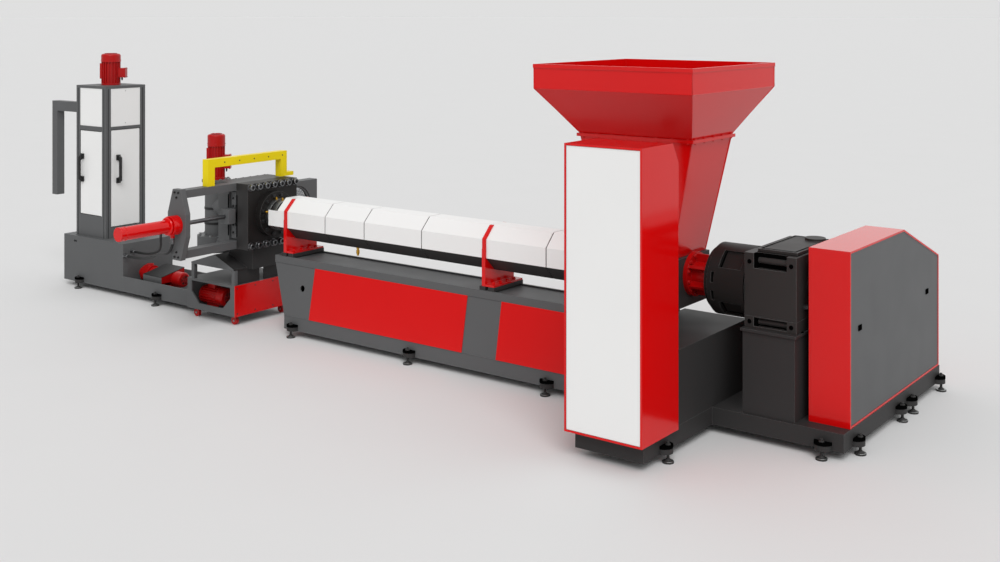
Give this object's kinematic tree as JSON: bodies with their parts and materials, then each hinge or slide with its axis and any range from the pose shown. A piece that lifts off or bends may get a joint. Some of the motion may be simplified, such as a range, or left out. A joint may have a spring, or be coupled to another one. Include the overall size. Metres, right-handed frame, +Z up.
{
  "type": "plastics granulating line",
  "caption": "Plastics granulating line: belt-driven extruder with hopper and covered barrel on a bed, slide-plate screen changer, die-face cutter and dryer.",
  "frame": {"origin": "on the floor, under the middle of the whole line's box", "axes": "+X along the barrel towards the drive end, -Y the operator's side, +Z up"},
  "size_m": [9.671, 3.429, 2.62],
  "materials": {
    "red_enamel": "gloss",
    "dark_paint": "satin",
    "grey_paint": "satin",
    "white_enamel": "gloss",
    "yellow_paint": "satin",
    "black_cast": "satin",
    "bright_steel": "brushed",
    "black_plastic": "matte",
    "black_rubber": "matte"
  },
  "bodies": {
    "line_frame": {"levelling_feet": "dark_paint", "drive_base": "dark_paint", "column_shell": "red_enamel", "column_front": "white_enamel", "feed_stand": "dark_paint", "gearbox_pedestal": "dark_paint", "gearbox_case": "black_cast", "thrust_drum": "black_cast", "drive_spool": "red_enamel", "main_motor": "red_enamel", "belt_guard": "red_enamel", "guard_panel": "grey_paint", "hopper_funnel": "red_enamel", "hopper_cone": "red_enamel", "feed_throat": "black_cast", "barrel": "bright_steel", "barrel_covers": "white_enamel", "barrel_undercovers": "dark_paint", "barrel_supports": "red_enamel", "bed_base": "grey_paint", "bed_front_side": "grey_paint", "bed_rear_side": "grey_paint", "bed_end_plate": "grey_paint", "bed_bars": "dark_paint", "bed_panels": "red_enamel", "inlet_block": "black_cast", "outlet_block": "black_cast", "guide_beams": "dark_paint", "end_plate": "grey_paint", "slide_cylinder": "red_enamel", "lifting_bracket": "yellow_paint", "die_adaptor": "black_cast", "cutting_chamber": "grey_paint", "cutter_motor": "red_enamel", "trolley_box": "grey_paint", "trolley_panel": "red_enamel", "trolley_frame": "dark_paint", "trolley_hood": "dark_paint", "trolley_motor": "red_enamel", "trolley_castors": "red_enamel", "water_tank": "grey_paint", "pump_tray": "grey_paint", "circulation_pump": "red_enamel", "dryer_posts": "grey_paint", "dryer_rails": "grey_paint", "dryer_panels": "white_enamel", "dryer_roof": "grey_paint", "dryer_screen": "bright_steel", "dryer_motor": "red_enamel", "duct_arm": "grey_paint", "duct_spout": "grey_paint", "pressure_hose": "black_rubber", "return_hose": "black_rubber"},
    "slide_plate": {"screen_slide": "black_cast", "breaker_plates": "bright_steel", "slide_rod": "bright_steel"},
    "front_door_leaf": {"front_door": "white_enamel", "front_handle": "black_plastic"},
    "side_door_leaf": {"side_door": "white_enamel", "side_handle": "black_plastic"}
  },
  "joints": [
    {"name": "screen_shift", "type": "slide", "parent": "line_frame", "child": "slide_plate", "axis": [0, -1, 0], "range_m": [0, 0.469]},
    {"name": "front_door_hinge", "type": "hinge", "parent": "line_frame", "child": "front_door_leaf", "pos_m": [-3.6045, -0.2705, 1.25], "axis": [0, 0, 1], "range_deg": [0, 100]},
    {"name": "side_door_hinge", "type": "hinge", "parent": "line_frame", "child": "side_door_leaf", "pos_m": [-3.5325, 0.1425, 1.2], "axis": [0, 0, 1], "range_deg": [0, 100]}
  ]
}
